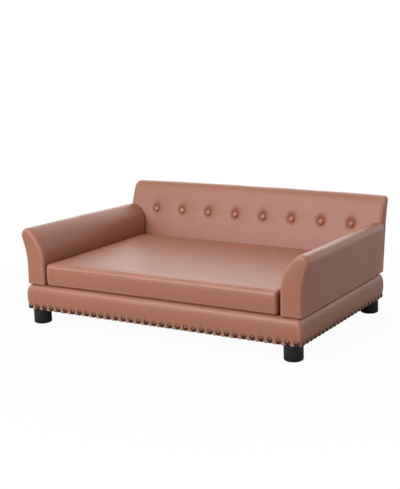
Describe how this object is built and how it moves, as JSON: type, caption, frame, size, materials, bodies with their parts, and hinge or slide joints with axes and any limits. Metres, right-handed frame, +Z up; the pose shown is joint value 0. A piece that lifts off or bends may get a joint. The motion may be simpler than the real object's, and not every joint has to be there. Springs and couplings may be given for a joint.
{
  "type": "dog sofa bed",
  "caption": "Low pet sofa with padded plinth on round feet, rolled flared arms, raked button-tufted backrest and a loose boxed seat cushion that lifts out.",
  "frame": {"origin": "middle of the whole sofa's footprint, on the floor plane under the feet", "axes": "+X along the sofa's width toward the right arm seen from the front, +Y from the front to the backrest, +Z up"},
  "size_m": [0.969, 0.6206, 0.354],
  "materials": {
    "leather": "smooth brown upholstery leather, semi-matt, slightly paler on worn edges",
    "foam": "upholstery foam under the covers",
    "timber": "planed softwood, unfinished",
    "board": "plywood, unfinished",
    "tack_metal": "antiqued dark bronze tack heads",
    "foot_plastic": "black satin moulded feet",
    "dust_cloth": "thin black non-woven cloth",
    "steel": "zinc-plated fasteners",
    "zip_fabric": "woven zip tape",
    "zip_teeth": "coil zip teeth",
    "zip_metal": "antiqued zip slider and pull"
  },
  "bodies": {
    "sofa": {"base_cover": "leather", "back_cover": "leather", "right_arm_cover": "leather", "left_arm_cover": "leather", "back_buttons": "leather", "base_foam": "foam", "back_foam": "foam", "right_arm_foam": "foam", "left_arm_foam": "foam", "base_front_rail": "timber", "base_rear_rail": "timber", "base_left_rail": "timber", "base_right_rail": "timber", "base_cross_rails": "timber", "base_corner_blocks": "timber", "back_bottom_rail": "timber", "back_top_rail": "timber", "back_posts": "timber", "back_nail_rail": "timber", "right_arm_top_rail": "timber", "left_arm_top_rail": "timber", "base_deck": "board", "back_panel": "board", "right_arm_board": "board", "left_arm_board": "board", "right_arm_front_former": "board", "left_arm_front_former": "board", "right_arm_rear_former": "board", "left_arm_rear_former": "board", "tacks_front": "tack_metal", "tacks_right": "tack_metal", "tacks_left": "tack_metal", "feet": "foot_plastic", "dust_cover": "dust_cloth", "foot_screws": "steel", "frame_screws": "steel", "button_nails": "steel"},
    "cushion": {"cushion_cover": "leather", "cushion_core": "foam", "zip_tape": "zip_fabric", "zip_chain": "zip_teeth"},
    "zip_runner": {"zip_slider": "zip_metal", "zip_pull": "zip_metal"}
  },
  "joints": [
    {"name": "cushion_lift", "type": "slide", "parent": "sofa", "child": "cushion", "axis": [0, 0, 1], "range_m": [0, 0.3]},
    {"name": "zip_slide", "type": "slide", "parent": "cushion", "child": "zip_runner", "axis": [1, 0, 0], "range_m": [0, 0.69]}
  ]
}
